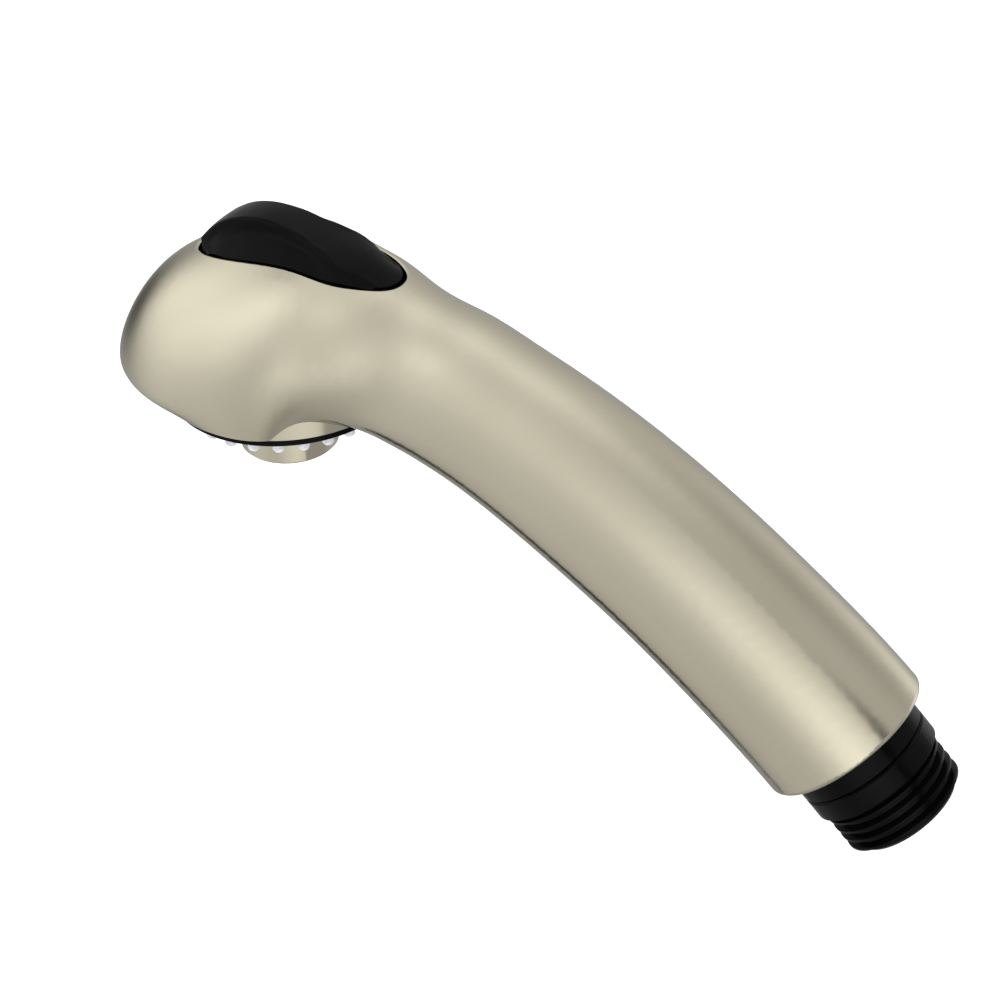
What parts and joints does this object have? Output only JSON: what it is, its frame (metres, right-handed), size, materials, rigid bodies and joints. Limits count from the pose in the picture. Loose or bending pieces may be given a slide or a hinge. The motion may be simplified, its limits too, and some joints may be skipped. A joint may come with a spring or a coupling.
{
  "type": "pull-out faucet spray head",
  "caption": "Hand-held pull-out kitchen faucet spray wand: curved metal body, black rocker diverter button, round spray face with central aerator, threaded hose tail.",
  "frame": {"origin": "centre of the hose thread's end face, on the thread's axis", "axes": "XZ is the wand's mirror plane, the spray falls towards -Z parallel to the spray axis, and the wand runs from the thread towards -X"},
  "size_m": [0.1409, 0.0388, 0.0905],
  "materials": {
    "shell_nickel": "brushed satin nickel plate on a die cast shell",
    "black_gloss": "glossy black ABS",
    "acetal_white": "natural acetal",
    "acetal_grey": "grey acetal",
    "steel": "stainless steel",
    "silicone": "translucent silicone",
    "rubber_black": "nitrile rubber"
  },
  "bodies": {
    "wand": {"body_shell": "shell_nickel", "button_pivot_pin": "steel", "valve_cover": "acetal_grey", "diverter_body": "acetal_grey", "spool_spring": "steel", "waterway_tube": "acetal_white", "hose_connector": "black_gloss", "retaining_collar": "black_gloss", "connector_o_ring": "rubber_black", "check_valve_cage": "acetal_white", "check_valve_spring": "steel", "inlet_screen": "steel", "spray_face": "black_gloss", "nozzle_mat": "silicone", "chamber_ring": "acetal_grey", "face_screw_1": "steel", "face_screw_2": "steel", "face_screw_3": "steel", "face_screw_4": "steel", "aerator_sleeve": "shell_nickel", "aerator_cartridge": "acetal_white", "aerator_screen": "steel", "flow_regulator": "acetal_white", "aerator_washer": "rubber_black"},
    "button": {"rocker_button": "black_gloss"},
    "spool": {"diverter_spool": "acetal_white", "spool_seal": "rubber_black"},
    "poppet": {"check_valve_poppet": "acetal_grey"}
  },
  "joints": [
    {"name": "button_rock", "type": "hinge", "parent": "wand", "child": "button", "pos_m": [-0.0965, 0, 0.0725], "axis": [0, -1, 0], "range_deg": [0, 6], "stiffness_Nm_per_rad": 0.6, "springref_deg": -2.86},
    {"name": "spool_slide", "type": "slide", "parent": "wand", "child": "spool", "axis": [0, 0, -1], "range_m": [0, 0.0011], "deforming": ["spool_spring"]},
    {"name": "check_valve_lift", "type": "slide", "parent": "wand", "child": "poppet", "axis": [-0.6756, 0, 0.7373], "range_m": [0, 0.002], "stiffness_N_per_m": 60, "springref_m": -0.002, "deforming": ["check_valve_spring"]}
  ],
  "couplings": [
    {"joint": "spool_slide", "follows": "button_rock", "m_per_rad": 0.01}
  ]
}
